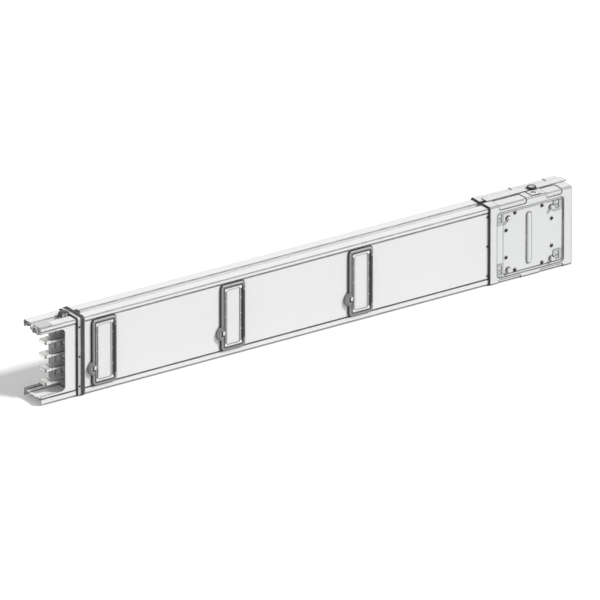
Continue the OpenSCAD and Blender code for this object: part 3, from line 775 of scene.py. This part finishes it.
def makeKnob():
    low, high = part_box("captive_screw")
    radius, middle = (high.x - low.x) / 2, (low + high) / 2
    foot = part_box("bridge_tongue")[1].z
    shank, lip, dish = knob["shank"] * mm, knob["edge"] * mm, knob["dishRadius"] * mm
    floor = high.z - knob["dishDepth"] * mm
    outline = [(0.0, low.z), (knob["shankEnd"] * mm, low.z),
               (shank, low.z + knob["shankChamfer"] * mm), (shank, foot),
               (radius - lip, foot), (radius, foot + lip), (radius, high.z - lip),
               (radius - lip, high.z), (dish + knob["dishSlope"] * mm, high.z), (dish, floor),
               (0.0, floor)]
    shape = bmesh.new()
    verts = [shape.verts.new((middle.x + r, middle.y, z)) for r, z in outline]
    rims = [shape.edges.new(pair) for pair in zip(verts, verts[1:])]
    bmesh.ops.spin(shape, geom=verts + rims, cent=(middle.x, middle.y, 0), axis=(0, 0, 1),
                   angle=math.tau, steps=knob["segments"])
    bmesh.ops.remove_doubles(shape, verts=shape.verts, dist=weldDistance)
    bmesh.ops.recalc_face_normals(shape, faces=shape.faces)
    mesh = bpy.data.meshes.new("captiveScrew")
    shape.to_mesh(mesh)
    shape.free()
    ob = grown(placed("captiveScrew", mesh), knurlGrowth(),
               {"Head radius": radius, "Middle X": middle.x, "Middle Y": middle.y})
    evenShade(ob)
    standFor(ob, "captive_screw")
    return ob


print("rounding the edges of the frame's parts")
fineParts = ["collar_rivets", "joint_rivets", "front_joint_screws", "back_joint_screws",
             "captive_screw"]
pieces = {name: rounded(name) for name in nodes if name not in fineParts}

rivets = rivetGrowth()
makeRivets(rivets, "collar_rivets")
makeRivets(rivets, "joint_rivets")
screws = screwGrowth()
makeScrews(screws, "front_joint_screws")
makeScrews(screws, "back_joint_screws")
pieces["captive_screw"] = makeKnob()
print("rivets and screws ready")


door = {"hingeWidth": 6.4, "faceSunk": 0.2, "grooveDepth": 0.8, "grooveSpare": 0.05,
        "flat": 0.9}   # flat: how squarely a groove's floor faces out
accent = {"latchShell": 1.6, "collarLip": 1.3, "holeReach": 4.4,
          "steep": 0.5}  # steep: a wall's normal has less than this along the axis


def twoTone(name, material, belongs):  # a second moulding on the faces that belong to it
    ob = pieces[name]
    ob.data.materials.append(material)
    for face in ob.data.polygons:
        if belongs(face):
            face.material_index = len(ob.data.materials) - 1


hingeOf = {j["name"]: Vector(j["pos_m"]) for j in frame["record"]["behaviour"]["joints"]}


def markDoor(name):
    low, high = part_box(name)
    out = -1.0 if name.startswith("front") else 1.0
    hinge = high.x if out < 0 else low.x
    front = hingeOf[bodyOf[name] + "_hinge"].y - out * door["faceSunk"] * mm

    def onHinge(face):
        return abs(face.center.x - hinge) < door["hingeWidth"] * mm

    def inGroove(face):
        sunk = (front - face.center.y) * out
        atDepth = abs(sunk - door["grooveDepth"] * mm) < door["grooveSpare"] * mm
        return atDepth and face.normal.y * out > door["flat"]

    # painted shade: the groove floors take the darker outlet moulding
    twoTone(name, finishes["outlet_moulding"], inGroove)
    twoTone(name, finishes["latch_moulding"], onHinge)


for name in nodes:
    if "outlet_door" in name:
        markDoor(name)


def markLatch():  # painted light: pale inside its two cells, where shade would fall
    low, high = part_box("groove_latch")
    shell = accent["latchShell"] * mm
    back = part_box("end_collar")[0].x

    def inCell(face):
        inside = all(low[k] + shell < face.center[k] < high[k] - shell for k in range(3))
        return inside and face.center.x < back

    twoTone("groove_latch", paleLining, inCell)


def markCollar():  # a paler band under the rivets, and a paler lip at the far end
    low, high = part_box("end_collar")
    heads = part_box("collar_rivets")
    band = heads[0].x + heads[1].x - low.x
    lip = high.x - accent["collarLip"] * mm

    def isPale(face):
        return face.center.x < band or (face.center.x > lip
                                        and abs(face.normal.x) < accent["steep"])

    twoTone("end_collar", finishes["clip_moulding"], isPale)


def paintedHoleShade():  # painted shade: the locating plate's hole is dark inside
    low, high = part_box("locating_plate")
    middle = (low + high) / 2

    def onWall(face):
        near = (face.center.xy - middle.xy).length < accent["holeReach"] * mm
        return near and abs(face.normal.z) < accent["steep"]

    twoTone("locating_plate", finishes["latch_moulding"], onWall)


def markKnob():  # a dark grip round the knurled head
    low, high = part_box("captive_screw")
    middle = (low + high) / 2

    def onGrip(face):
        return (face.center.xy - middle.xy).length > knob["dishRadius"] * mm

    twoTone("captive_screw", finishes["latch_moulding"], onGrip)


markLatch()
markCollar()
paintedHoleShade()
markKnob()
print("doors, latch, collar, hole and grip ready")
